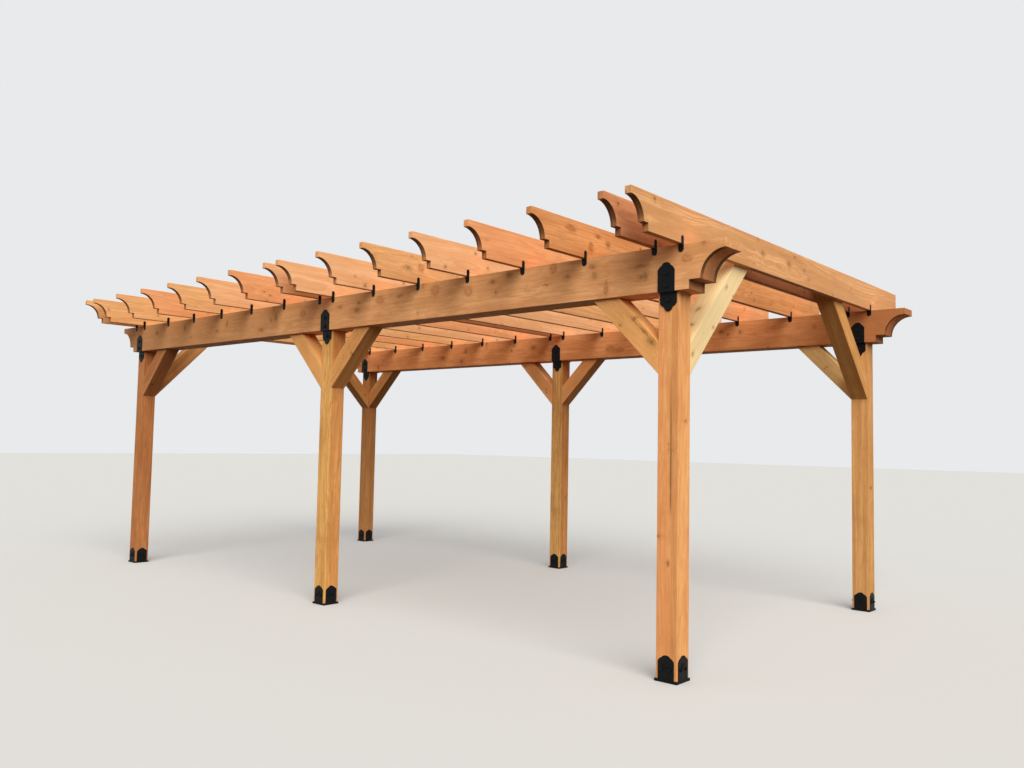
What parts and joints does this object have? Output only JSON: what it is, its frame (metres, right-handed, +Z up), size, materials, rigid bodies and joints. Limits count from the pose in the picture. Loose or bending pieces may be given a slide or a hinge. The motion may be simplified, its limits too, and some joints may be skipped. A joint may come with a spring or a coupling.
{
  "type": "pergola",
  "caption": "Open wooden pergola: square posts on black bases, two long beams with shaped ends, rafters across the top, 45-degree knee braces and black steel ties.",
  "frame": {"origin": "centre of the plan at the level the post bases stand on", "axes": "+X runs along the two long beams, +Z is up, and the shaped ends of the rafters point to -Y"},
  "size_m": [7.82, 4.58, 2.934],
  "materials": {
    "frame_timber": "satin",
    "rafter_timber": "satin",
    "black_steel": "satin"
  },
  "bodies": {
    "root": {"beam_back": "frame_timber", "beam_front": "frame_timber", "brace_back_left_right": "frame_timber", "brace_back_middle_left": "frame_timber", "brace_back_middle_right": "frame_timber", "brace_back_right_left": "frame_timber", "brace_front_left_right": "frame_timber", "brace_front_middle_left": "frame_timber", "brace_front_middle_right": "frame_timber", "brace_front_right_left": "frame_timber", "cross_brace_back_left": "frame_timber", "cross_brace_back_right": "frame_timber", "cross_brace_front_left": "frame_timber", "cross_brace_front_right": "frame_timber", "post_back_left": "frame_timber", "post_back_middle": "frame_timber", "post_back_right": "frame_timber", "post_base_back_left": "black_steel", "post_base_back_middle": "black_steel", "post_base_back_right": "black_steel", "post_base_front_left": "black_steel", "post_base_front_middle": "black_steel", "post_base_front_right": "black_steel", "post_front_left": "frame_timber", "post_front_middle": "frame_timber", "post_front_right": "frame_timber", "post_ties": "black_steel", "rafter_01": "rafter_timber", "rafter_02": "rafter_timber", "rafter_03": "rafter_timber", "rafter_04": "rafter_timber", "rafter_05": "rafter_timber", "rafter_06": "rafter_timber", "rafter_07": "rafter_timber", "rafter_08": "rafter_timber", "rafter_09": "rafter_timber", "rafter_10": "rafter_timber", "rafter_11": "rafter_timber", "rafter_12": "rafter_timber", "rafter_13": "rafter_timber", "rafter_14": "rafter_timber", "rafter_15": "rafter_timber", "rafter_16": "rafter_timber", "rafter_clips": "black_steel"}
  },
  "joints": []
}
